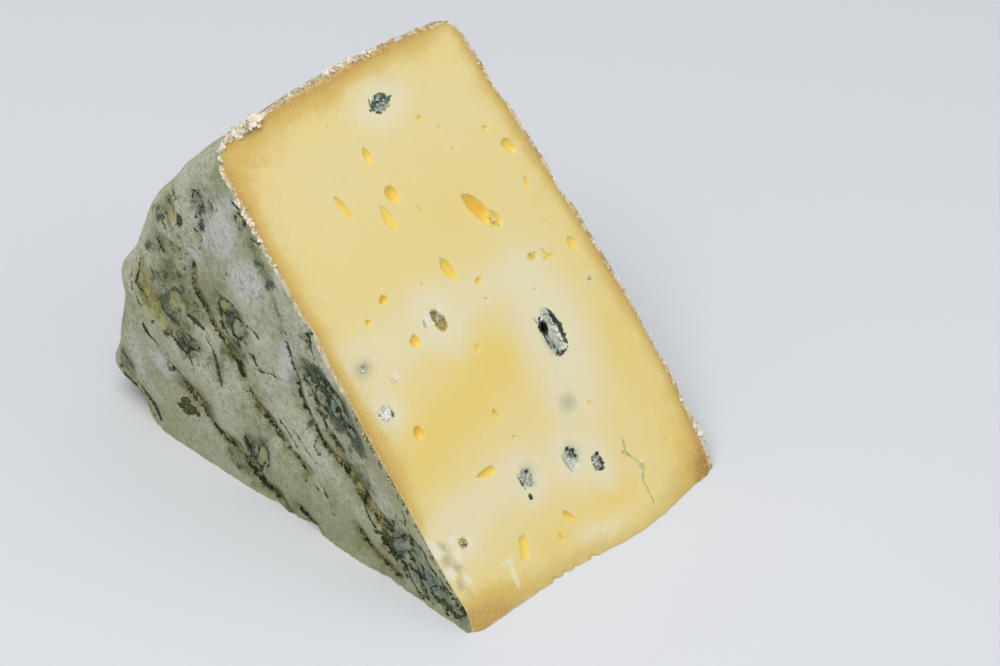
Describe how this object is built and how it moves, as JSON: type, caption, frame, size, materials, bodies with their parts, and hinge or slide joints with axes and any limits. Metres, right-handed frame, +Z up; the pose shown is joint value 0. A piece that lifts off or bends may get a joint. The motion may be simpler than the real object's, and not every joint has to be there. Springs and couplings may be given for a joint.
{
  "type": "blue cheese wedge",
  "caption": "Wedge of blue cheese cut from a wheel, lying on one cut face, with a creased mouldy rind and small eyes in its yellow paste.",
  "frame": {"origin": "middle of the bounding box of the whole wedge, on the plane of the cut face that it rests on", "axes": "+X along the wheel's axis, from the creased flat face to the smoother one; +Y from the tip edge out to the wheel's outer wall; +Z up"},
  "size_m": [0.0856, 0.1278, 0.0958],
  "materials": {
    "paste": "soft, slightly moist yellow paste with cream patches, eyes and blue-green mould",
    "rind": "dry matt grey natural rind with blue-green, olive and ochre mould in its creases",
    "mould": "soft blue-green and grey mould lining the pockets of the cut faces"
  },
  "bodies": {
    "root": {"cheese_wedge": "paste"}
  },
  "joints": []
}
